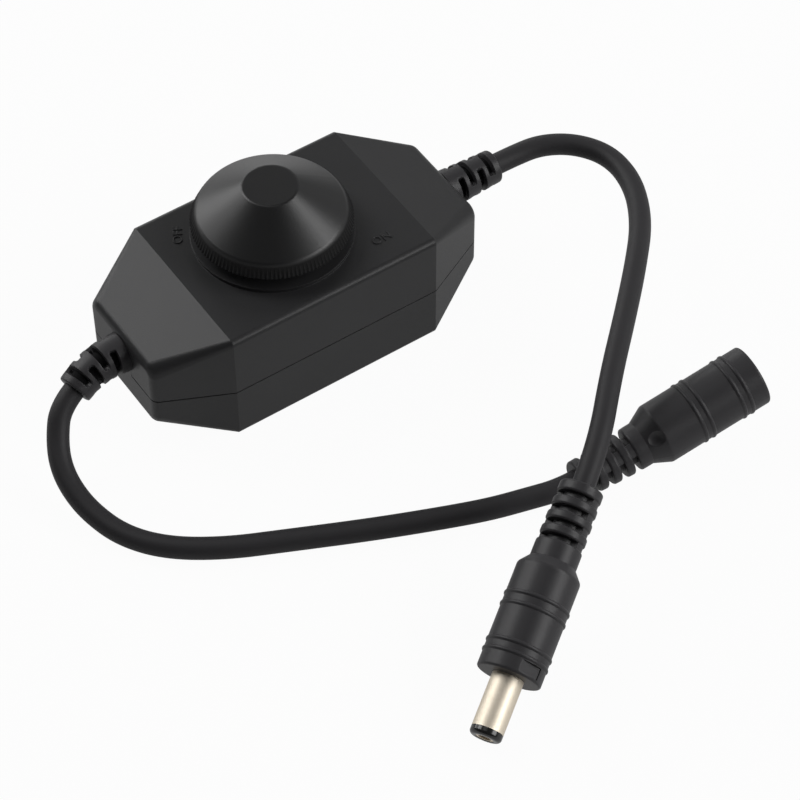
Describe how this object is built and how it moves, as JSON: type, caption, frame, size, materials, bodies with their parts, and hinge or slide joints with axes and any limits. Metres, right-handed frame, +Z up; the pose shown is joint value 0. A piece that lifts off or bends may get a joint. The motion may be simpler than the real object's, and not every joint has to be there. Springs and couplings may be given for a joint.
{
  "type": "led strip dimmer",
  "caption": "Inline rotary dimmer for a light strip: black tapered box with a conical knob, barrel jack lead and barrel plug lead.",
  "frame": {"origin": "centre of the housing's underside, on the surface that it stands on", "axes": "+X along the housing towards the output lead, +Y to the back, +Z up through the knob"},
  "size_m": [0.1203, 0.1126, 0.0361],
  "materials": {
    "housing_abs": "fine moulded satin",
    "knob_abs": "satin with a soft sheen",
    "lead_pvc": "soft satin vinyl",
    "insulator_nylon": "satin",
    "contact_nickel": "bright nickel",
    "zinc_plate": "zinc plated",
    "shaft_aluminium": "turned",
    "phenolic": "brown laminate",
    "rotor_plastic": "natural",
    "board_glass_epoxy": "green solder mask",
    "chip_epoxy": "moulded",
    "capacitor_sleeve": "shrink sleeve",
    "wire_red": "vinyl",
    "wire_black": "vinyl"
  },
  "bodies": {
    "housing": {"upper_shell": "housing_abs", "lower_shell": "housing_abs", "input_boot": "lead_pvc", "output_boot": "lead_pvc", "input_cord": "lead_pvc", "output_cord": "lead_pvc", "plug_body": "lead_pvc", "jack_body": "lead_pvc", "plug_tip": "insulator_nylon", "jack_insert": "insulator_nylon", "plug_sleeve": "contact_nickel", "plug_contact": "contact_nickel", "jack_pin": "contact_nickel", "jack_spring": "contact_nickel", "pot_terminals": "contact_nickel", "pot_bush": "zinc_plate", "pot_washer": "zinc_plate", "pot_nut": "zinc_plate", "pot_cover": "zinc_plate", "case_screws": "zinc_plate", "pot_wafer": "phenolic", "circuit_board": "board_glass_epoxy", "mosfet": "chip_epoxy", "pwm_chip": "chip_epoxy", "chip_parts": "chip_epoxy", "capacitor": "capacitor_sleeve", "input_wire_red": "wire_red", "output_wire_red": "wire_red", "input_wire_black": "wire_black", "output_wire_black": "wire_black"},
    "dial": {"knob": "knob_abs", "pot_shaft": "shaft_aluminium", "pot_wiper": "rotor_plastic"}
  },
  "joints": [
    {"name": "dial_turn", "type": "hinge", "parent": "housing", "child": "dial", "pos_m": [-0.0014, 0.0017, 0.0245], "axis": [0, 0, 1], "range_deg": [-150, 150]}
  ]
}
